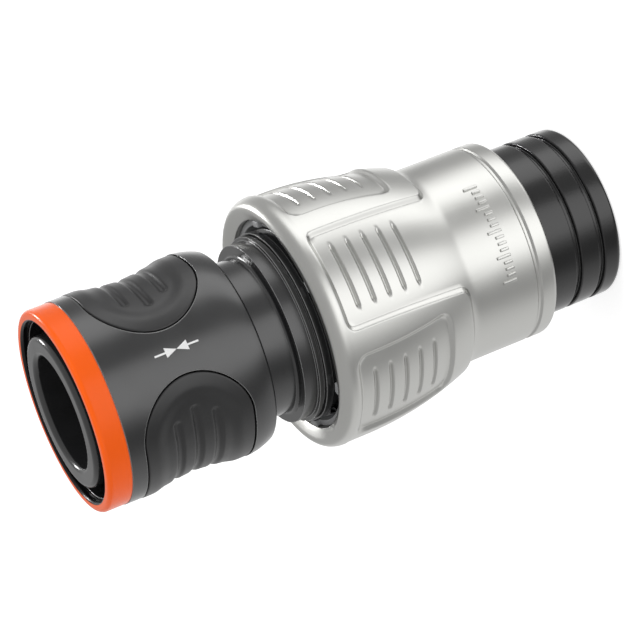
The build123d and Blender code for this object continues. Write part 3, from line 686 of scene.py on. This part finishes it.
class COUPLING_OT_clamp_nut(bpy.types.Operator):
    """The barrel-shaped nut with its six grip panels, spun and pressed in"""
    bl_idname = "coupling.clamp_nut"
    bl_label = "Clamp nut"

    steps = 480             # columns of vertices, 80 from a channel's middle to an inset's
    wall_zone = 1.3         # angle each side of a panel's wall that is finely divided
    wall_straight = 0.7     # share of a wall's slope that is straight, the rest being an S
    corner = 1.3            # rounding of the lands' corners
    inset_corner = 1.9      # rounding of the closed insets' corners
    front_corner = 34.5     # above it a channel's front corners count, below it the lands' rear ones
    run_out = 0.02          # how softly the channels' floors run into the rear cylinder
    groove_flat = 0.08      # share of a groove's half width that is its floor
    groove_taper = 2        # how much longer a groove's end is than its half width
    skin_start = 27.8       # below it the outside keeps its spun shape
    skin_end = BEAD_START + 0.5     # and above this one
    skin_depth = 0.6        # vertices this far outside the inner radius are on the outside
    follow_start = 20.0     # height from which the columns begin to follow the panels' walls
    follow_length = 8.0     # over which they come to follow them fully

    # Rings of vertices at a groove, in half widths of it from its middle, and between two grooves
    groove_rings = (-1.3, -1.1, -0.95, -0.75, -0.5, -0.25, -0.08, 0.08, 0.25, 0.5, 0.75, 0.95, 1.1, 1.3)
    between_rings = (0.95, 1.42, 1.9)

    def execute(self, context):
        sizes = context.scene.coupling_sizes
        self.wall = sizes.panel_wall / MM
        self.depth = sizes.panel_depth / MM
        self.groove = sizes.groove_depth / MM
        nut = spun(self.outline(), self.steps)
        self.press(nut)
        shade(nut, 40)
        place(nut, "nut_shell", "nut", "satin_metal", ["clamp_nut"])
        return {"FINISHED"}

    def land_radius(self, height):
        """Radius of the lands, which swell from the rear cylinder to the crest behind the bead."""
        offset = max(BARREL_CREST - height, 0)
        return BARREL_RADIUS - BARREL_SWEEP + math.sqrt(BARREL_SWEEP**2 - offset**2)

    def floor_radius(self, height):
        """Radius of the channels' floors, which run smoothly into the rear cylinder."""
        above = self.land_radius(height) - self.depth - REAR_RADIUS
        return REAR_RADIUS + (above + math.sqrt(above**2 + self.run_out)) / 2

    def inner_radius(self, height):
        """Radius of the nut's inside, from the guard's bore over the cone to the bore at the mouth."""
        if height >= CONE_HEIGHT:
            return NUT_BORE
        share = max(height - BARREL_END, 0) / (CONE_HEIGHT - BARREL_END)
        return GUARD_BORE + (CONE_TOP - GUARD_BORE) * share

    def barrel_heights(self):
        """Heights of the rings of vertices from the rear cylinder to the bead, close at each wall."""
        inset_rear = BEAD_START - INSET_LENGTH
        heights = ladder(28.0, 0.4, 5)
        heights += ladder(LAND_END - 0.45, 0.1, 10) + ladder(LAND_END + 0.65, 0.25, 5)
        heights += [32.6, 33.4, 34.2, 34.7]
        heights += ladder(inset_rear - 0.45, 0.1, 10) + ladder(inset_rear + 0.65, 0.25, 8)
        for index in range(GROOVE_COUNT):
            middle = GROOVE_FIRST - (GROOVE_COUNT - 1 - index) * GROOVE_SPACING
            heights += [middle + GROOVE_HALF * share for share in self.groove_rings]
            if index < GROOVE_COUNT - 1:
                heights += [middle + away for away in self.between_rings]
        heights += [51.2, 51.6, 52.0, 52.4, 52.7]
        heights += ladder(BEAD_START - 0.35, 0.1, 8)
        return sorted(heights)

    def outline(self):
        """The nut's section, up its outside from the guard's stop, round the lip and down its bores."""
        groove_floor = REAR_RADIUS - RIM_GROOVE_DEPTH
        groove_top = RIM_TOP + RIM_GROOVE_WIDTH
        slope = 0.28
        rear = rounded_outline([
            (GUARD_STOP_RADIUS, GUARD_SEAT, 0), (GUARD_STOP_RADIUS, NUT_BOTTOM, 0.3),
            (REAR_RADIUS, NUT_BOTTOM, 0.7), (REAR_RADIUS, RIM_TOP, 0.14),
            (groove_floor, RIM_TOP + slope, 0.1), (groove_floor, groove_top - slope, 0.1),
            (REAR_RADIUS, groove_top, 0.14), (REAR_RADIUS, groove_top + 1.5, 0),
        ])[:-1]
        cylinder = [(REAR_RADIUS, height) for height in (18.6, 20.5, 22.5, 24.5, 26.2, 27.3)]
        barrel = [(max(self.land_radius(height), REAR_RADIUS), height)
                  for height in self.barrel_heights()]
        bead = []
        for angle in ladder(0, math.pi / 24, 13):
            bead.append((LIP_OUTER + (BEAD_RADIUS - LIP_OUTER) * math.cos(angle),
                         BEAD_WIDEST + (NUT_TOP - BEAD_WIDEST) * math.sin(angle)))
        mouth = [
            (LIP_OUTER - 0.3, NUT_TOP - 0.06), (LIP_OUTER - 0.55, NUT_TOP - 0.2),
            (NUT_BORE + 0.25, NUT_TOP - 0.85), (NUT_BORE + 0.06, NUT_TOP - 1.0),
            (NUT_BORE, NUT_TOP - 1.3),
        ]
        bores = [
            (NUT_BORE, 50.0), (NUT_BORE, CONE_HEIGHT), (CONE_TOP, CONE_HEIGHT),
            (GUARD_BORE, BARREL_END), (GUARD_BORE, GUARD_SEAT),
        ]
        return rear + cylinder + barrel + bead + mouth + bores

    def wall_angles(self, height):
        """Angles of the channel's wall and of the closed inset's wall, from the middle of a channel."""
        channel = math.asin(CHANNEL_HALF / self.land_radius(max(height, LAND_END)))
        inset = math.asin(INSET_HALF / self.land_radius(max(height, BEAD_START - INSET_LENGTH)))
        return math.degrees(channel), 60 - math.degrees(inset)

    def column_angle(self, column, height):
        """The angle of a column of vertices, so that columns are close at walls and grooves' ends."""
        channel, inset = self.wall_angles(height)
        zone = self.wall_zone
        before, after = GROOVE_SPAN - 1.0, GROOVE_SPAN + 1.6
        stops = (
            (0, 0), (9, before), (16, after), (21, channel - zone), (33, channel + zone),
            (41, inset - zone), (53, inset + zone), (60, 60 - after), (67, 60 - before), (80, 60),
        )
        for (first, low), (last, high) in zip(stops, stops[1:]):
            if column <= last:
                return low + (high - low) * (column - first) / (last - first)
        return 60.0

    def skin(self, angle, height):
        """Radius of the nut's outside at an angle from the middle of a channel."""
        radius = self.land_radius(height)
        across = radius * math.sin(math.radians(angle))
        if height < self.front_corner:
            channel = 1 - self.window(CHANNEL_HALF - across, LAND_END - height, self.corner)
        else:
            channel = self.window(across - CHANNEL_HALF, height - BEAD_START, self.corner)
        across = radius * math.sin(math.radians(60 - angle))
        along = abs(height - BEAD_START + INSET_LENGTH / 2) - INSET_LENGTH / 2
        inset = self.window(across - INSET_HALF, along, self.inset_corner)
        radius += (self.floor_radius(height) - radius) * channel
        radius -= self.depth * inset
        past = radius * math.radians(max(min(angle, 60 - angle) - GROOVE_SPAN, 0))
        for index in range(GROOVE_COUNT):
            away = height - GROOVE_FIRST + index * GROOVE_SPACING
            off = math.hypot(away, past / self.groove_taper) / GROOVE_HALF
            radius -= self.groove * smooth_step(1 + self.groove_flat - off)
        return radius

    def window(self, gap_x, gap_y, corner):
        """1 inside two walls that meet in a rounded corner, 0 outside, with a slope between.

        gap_x and gap_y say how far out of each wall a point is.
        """
        gap_x, gap_y = gap_x + corner, gap_y + corner
        distance = math.hypot(max(gap_x, 0), max(gap_y, 0)) + min(max(gap_x, gap_y), 0) - corner
        share = min(max(0.5 - distance / self.wall, 0), 1)
        return self.wall_straight * share + (1 - self.wall_straight) * smooth_step(share)

    def press(self, nut):
        """Moves the columns of vertices onto the panels' walls, and the outer ones onto the skin."""
        for vertex in nut.data.vertices:
            radius = vertex.co.xy.length / MM
            height = vertex.co.z / MM
            if height < RIM_TOP + RIM_GROOVE_WIDTH:
                continue
            outside = radius > self.inner_radius(height) + self.skin_depth
            azimuth = math.degrees(math.atan2(vertex.co.y, vertex.co.x))
            column = round(azimuth / 360 * self.steps) % self.steps
            third, local = divmod(column, self.steps // 3)
            side = 1
            if local > self.steps // 6:
                third, local, side = third + 1, self.steps // 3 - local, -1
            even = local * 360 / self.steps
            follow = smooth_step((height - self.follow_start) / self.follow_length)
            angle = even + (self.column_angle(local, height) - even) * follow
            if outside and self.skin_start < height < self.skin_end:
                radius = self.skin(angle, height)
            turn = math.radians(FIRST_CHANNEL + third * 120 + side * angle)
            vertex.co.x = radius * MM * math.cos(turn)
            vertex.co.y = radius * MM * math.sin(turn)


class COUPLING_OT_tick_scale(bpy.types.Operator):
    """A raised tick scale on the nut's rear cylinder"""
    bl_idname = "coupling.tick_scale"
    bl_label = "Tick scale"

    ticks = 17
    first = -122.0      # azimuth of the first tick
    spacing = 3.6
    middle = 22.55      # height of the long ticks' middle
    long = 2.5
    short = 1.5
    width = 0.5
    bevel = 0.07
    sunk = 0.3          # how far a tick reaches into the nut

    def execute(self, context):
        proud = context.scene.coupling_sizes.tick_height / MM
        radius = REAR_RADIUS + (proud - self.sunk) / 2
        pieces = []
        for index in range(self.ticks):
            length = self.short if index % 4 else self.long
            pieces.append(bevelled_block(
                (proud + self.sunk, self.width, length), self.bevel, 2,
                self.first + index * self.spacing, radius, self.middle - (self.long - length) / 2))
        scale = joined(pieces)
        shade(scale, 30)
        place(scale, "nut_tick_scale", "nut", "satin_metal")
        return {"FINISHED"}


class COUPLING_OT_thread(bpy.types.Operator):
    """The body's thread, and the nut's liner with the thread it runs in"""
    bl_idname = "coupling.thread"
    bl_label = "Thread and liner"

    first_ridge = THREAD_BOTTOM + 0.3   # height where the body's ridge begins
    body_half_turns = 6
    liner_half_turns = 11
    liner_start = -2.5      # where the liner's ridge begins, in turns from the body's
    gap = 0.15              # between the body's thread and the liner's
    liner_gap = 0.05        # between the liner and the nut
    lugs = 6
    lug_first = -24.0       # azimuth of the first lug
    lug_size = (1.05, 2.0, 1.4)
    lug_bevel = 0.15
    lug_sunk = 0.6          # how far a lug's middle lies inside the liner's outside
    lug_proud = 0.2         # and above the liner's top

    def execute(self, context):
        crest = context.scene.coupling_sizes.thread_crest / MM
        root = THREAD_ROOT - 0.2
        start = self.first_ridge
        ridge = wound(
            [(root, start), (root, start + 1.5), (THREAD_ROOT, start + 1.4),
             (crest, start + 1.05), (crest, start + 0.45), (THREAD_ROOT, start + 0.1)],
            self.body_half_turns, self.body_half_turns * THREAD_PITCH / 2)
        shade(ridge, 30)
        place(ridge, "body_thread", "body", "dark_plastic")
        self.liner(crest + self.gap)
        return {"FINISHED"}

    def liner(self, inner):
        """The lining with its inner thread and the lugs that show in the nut's mouth."""
        outer = NUT_BORE - self.liner_gap
        shell = spun(rounded_outline([
            (inner, LINER_BOTTOM, 0.15), (outer, LINER_BOTTOM, 0.15), (outer, LINER_TOP, 0.1),
            (inner + 0.75, LINER_TOP, 0.1), (inner, LINER_TOP - 1.4, 0.4)]), 128)
        minor = THREAD_ROOT + self.gap
        root = inner + 0.1
        start = self.first_ridge + self.liner_start * THREAD_PITCH
        ridge = wound(
            [(root, start), (inner, start + 0.1), (minor, start + 0.5), (minor, start + 1.05),
             (inner, start + 1.4), (root, start + 1.5)],
            self.liner_half_turns, self.liner_half_turns * THREAD_PITCH / 2)
        pieces = [shell, ridge]
        for index in range(self.lugs):
            pieces.append(bevelled_block(
                self.lug_size, self.lug_bevel, 3, self.lug_first + index * 360 / self.lugs,
                outer - self.lug_sunk, LINER_TOP + self.lug_proud))
        whole = joined(pieces)
        shade(whole, 30)
        place(whole, "threaded_liner", "nut", "light_plastic", ["thread_liner"])


class COUPLING_OT_grip_pads(bpy.types.Operator):
    """The two soft grip pads, each with a rim, a dish and three finger grooves"""
    bl_idname = "coupling.grip_pads"
    bl_label = "Grip pads"

    seam = 0.2              # gap round the pad
    rounding = 0.22         # of its outer edge
    rim = 1.7               # width of the flat rim
    step = 2.4              # width of the soft step from the rim into the dish
    step_share = 0.35       # the step's share of the dish's depth
    floor_gap = 0.02        # between the pad's underside and the sleeve
    spans = (51.0, 57.0, 51.0)      # half the angle that each finger groove spans
    groove_flat = 0.1       # half the width of a groove's floor
    groove_slope = 0.85     # width of its sides
    edge_rings = (0, 0.03, 0.08, 0.15, 0.24, 0.5, 1.0, 1.5)     # distances of rings inside the edge
    dish_start = 1.9        # distance from which they are even
    side_steps = 56         # vertices along a straight side of the outline
    end_steps = 48          # vertices round an end
    dish_steps = 56         # rings across the dish
    floor_steps = 8         # rings across the underside

    def execute(self, context):
        sizes = context.scene.coupling_sizes
        self.dish = sizes.pad_dish / MM
        self.groove = sizes.pad_groove / MM
        for side, turn in (("right", 0), ("left", math.pi)):
            pad = self.pad()
            pad.data.transform(Matrix.Rotation(turn, 4, "Z"))
            shade(pad, 40)
            place(pad, f"soft_pad_{side}", "sleeve", "grip_rubber", [f"grip_pad_{side}"])
        return {"FINISHED"}

    def outline(self):
        """Spine angles and directions round the pad's outline, a slot with round ends."""
        points = []
        for side in (1, -1):
            spines = ladder(-PAD_SECTOR, 2 * PAD_SECTOR / self.side_steps, self.side_steps)
            points += [(side * spine, 0, side) for spine in spines]
            for step in range(self.end_steps):
                angle = math.radians(90 - 180 * step / self.end_steps)
                points.append((side * PAD_SECTOR, side * math.cos(angle), side * math.sin(angle)))
        return points

    def depth(self, inside, azimuth, height):
        """How far the pad's skin lies under its rim, a distance inside its outline."""
        reach = PAD_HALF - self.seam
        edge = max(self.rounding - inside, 0)
        depth = self.rounding - math.sqrt(max(self.rounding**2 - edge**2, 0))
        past_rim = inside - self.rim
        depth += self.dish * self.step_share * smooth_step(past_rim / self.step)
        depth += self.dish * (1 - self.step_share) * smooth_step(past_rim / (reach - self.rim))
        for index, span in enumerate(self.spans):
            away = abs(height - PAD_CENTRE - (index - 1) * PAD_GROOVE_SPACING)
            off = math.hypot(away, PAD_RADIUS * math.radians(max(abs(azimuth) - span, 0)))
            depth += self.groove * (1 - smooth_step((off - self.groove_flat) / self.groove_slope))
        return depth

    def pad(self):
        """One pad: rings of vertices from the middle of its underside out to its edge and in again."""
        outline = self.outline()
        reach = PAD_HALF - self.seam
        dish_step = (reach - self.dish_start) / self.dish_steps
        insides = [*self.edge_rings, *ladder(self.dish_start, dish_step, self.dish_steps), reach]
        rings = []
        for inside in ladder(reach, -reach / self.floor_steps, self.floor_steps) + [0]:
            rings.append([self.point(spot, inside, PAD_FLOOR + self.floor_gap) for spot in outline])
        for inside in insides:
            rings.append([self.point(spot, inside) for spot in outline])
        count = len(outline)
        clear_selection()
        bpy.ops.mesh.primitive_grid_add(x_subdivisions=count, y_subdivisions=len(rings) - 1, size=1)
        pad = bpy.context.object
        for index, vertex in enumerate(pad.data.vertices):
            row, column = divmod(index, count + 1)
            vertex.co = rings[row][column % count]
        edit_all()
        tidy_shell()
        return pad

    def point(self, spot, inside, floor=0):
        """A point of the pad in metres, on its skin or at the radius of its floor."""
        spine, across, up = spot
        reach = PAD_HALF - self.seam - inside
        azimuth = spine + math.degrees(math.asin(across * reach / (floor or PAD_RADIUS)))
        height = PAD_CENTRE + up * reach
        radius = floor or PAD_RADIUS - self.depth(inside, azimuth, height)
        angle = math.radians(azimuth)
        return (radius * math.cos(angle) * MM, radius * math.sin(angle) * MM, height * MM)


class COUPLING_OT_springs(bpy.types.Operator):
    """The sleeve's spring and the valve's spring"""
    bl_idname = "coupling.springs"
    bl_label = "Springs"

    wire = 0.8
    facets = 14         # round the wire
    # Name, node, coil radius, half turns, lower and upper end, joint and its travel, of each spring
    springs = (
        ("sleeve_coil", "sleeve_spring", 13.55, 7, STOP_TOP, GUIDE_BOTTOM, "sleeve_slide", 4.0),
        ("valve_coil", "valve_spring", 4.6, 9, SEAT_TOP, HEAD_BOTTOM, "valve_slide", 3.5),
    )

    def execute(self, context):
        for spring in self.springs:
            self.spring(*spring)
        return {"FINISHED"}

    def spring(self, name, node, radius, half_turns, bottom, top, joint, travel):
        thick = self.wire / 2
        ring = []
        for angle in ladder(0, 2 * math.pi / self.facets, self.facets):
            ring.append((radius + thick * math.cos(angle), bottom + thick * (1 + math.sin(angle))))
        coil = wound(ring, half_turns, top - bottom - self.wire, steps=28)
        shade(coil, 50)
        place(coil, name, "body", "spring_steel", [node])
        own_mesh(coil)


class COUPLING_OT_valve_mark(bpy.types.Operator):
    """A printed valve sign on the sleeve: two triangles tip to tip between two pipe lines"""
    bl_idname = "coupling.valve_mark"
    bl_label = "Valve mark"

    azimuth = -89.3
    middle = 79.3           # height of the sign's middle
    half_height = 0.95
    half_length = 1.9
    pipe_end = 3.75
    pipe_width = 0.36
    lift = 0.015            # of the print's underside off the sleeve
    thickness = 0.03

    def execute(self, context):
        shapes = [
            [(-self.half_length, -self.half_height), (0, 0), (-self.half_length, self.half_height)],
            [(self.half_length, self.half_height), (0, 0), (self.half_length, -self.half_height)],
        ]
        for side in (-1, 1):
            low, high = sorted((side * self.half_length, side * self.pipe_end))
            edge = self.pipe_width / 2
            shapes.append([(low, -edge), (high, -edge), (high, edge), (low, edge)])
        mark = joined([self.patch(shape) for shape in shapes])
        lay_on(mark, "release_sleeve", self.lift * MM)
        shade(mark, 30)
        place(mark, "valve_mark", "sleeve", "light_plastic", finish="white_print")
        return {"FINISHED"}

    def patch(self, corners):
        """A thin flat shape with (along, across) corners, standing off the sleeve."""
        clear_selection()
        bpy.ops.mesh.primitive_circle_add(vertices=len(corners), radius=1, fill_type="NGON")
        patch = bpy.context.object
        for vertex, (along, across) in zip(patch.data.vertices, corners):
            vertex.co = (LAY_RADIUS * MM, across * MM, (self.middle + along) * MM)
        edit_all()
        bpy.ops.mesh.extrude_region_move(
            TRANSFORM_OT_translate={"value": (self.thickness * MM, 0, 0)})
        tidy_shell()
        patch.data.transform(Matrix.Rotation(math.radians(self.azimuth), 4, "Z"))
        return patch


class COUPLING_OT_finishes(bpy.types.Operator):
    """Gives every CAD node its finish"""
    bl_idname = "coupling.finishes"
    bl_label = "Finishes"

    def execute(self, context):
        for part in frame["record"]["subparts"]:
            node = frame["nodes"][part["node"]]
            node.data.materials.clear()
            node.data.materials.append(finish_of(part["material_slot"]))
        return {"FINISHED"}


class COUPLING_PT_panel(bpy.types.Panel):
    """Lists the coupling's sizes, colours and operators"""
    bl_label = "Hose coupling"
    bl_idname = "COUPLING_PT_panel"
    bl_space_type = "VIEW_3D"
    bl_region_type = "UI"
    bl_category = "Coupling"

    def draw(self, context):
        for group in ("coupling_sizes", "coupling_colours", "coupling_stage"):
            box = self.layout.box()
            settings = getattr(context.scene, group)
            for name in settings.__annotations__:
                box.prop(settings, name)
        for operator in OPERATORS:
            self.layout.operator(operator.bl_idname)


OPERATORS = (
    COUPLING_OT_stage,
    COUPLING_OT_finishes,
    COUPLING_OT_clamp_nut,
    COUPLING_OT_tick_scale,
    COUPLING_OT_thread,
    COUPLING_OT_grip_pads,
    COUPLING_OT_springs,
    COUPLING_OT_valve_mark,
)
CLASSES = (CouplingSizes, CouplingColours, CouplingStage, *OPERATORS, COUPLING_PT_panel)


def register():
    for item in CLASSES:
        bpy.utils.register_class(item)
    bpy.types.Scene.coupling_sizes = bpy.props.PointerProperty(type=CouplingSizes)
    bpy.types.Scene.coupling_colours = bpy.props.PointerProperty(type=CouplingColours)
    bpy.types.Scene.coupling_stage = bpy.props.PointerProperty(type=CouplingStage)


def unregister():
    del bpy.types.Scene.coupling_stage
    del bpy.types.Scene.coupling_colours
    del bpy.types.Scene.coupling_sizes
    for item in reversed(CLASSES):
        bpy.utils.unregister_class(item)


def main():
    register()
    bpy.ops.coupling.stage()
    bpy.ops.coupling.finishes()
    bpy.ops.coupling.clamp_nut()
    bpy.ops.coupling.tick_scale()
    bpy.ops.coupling.thread()
    bpy.ops.coupling.grip_pads()
    bpy.ops.coupling.springs()
    bpy.ops.coupling.valve_mark()


if __name__ == "__main__":
    main()
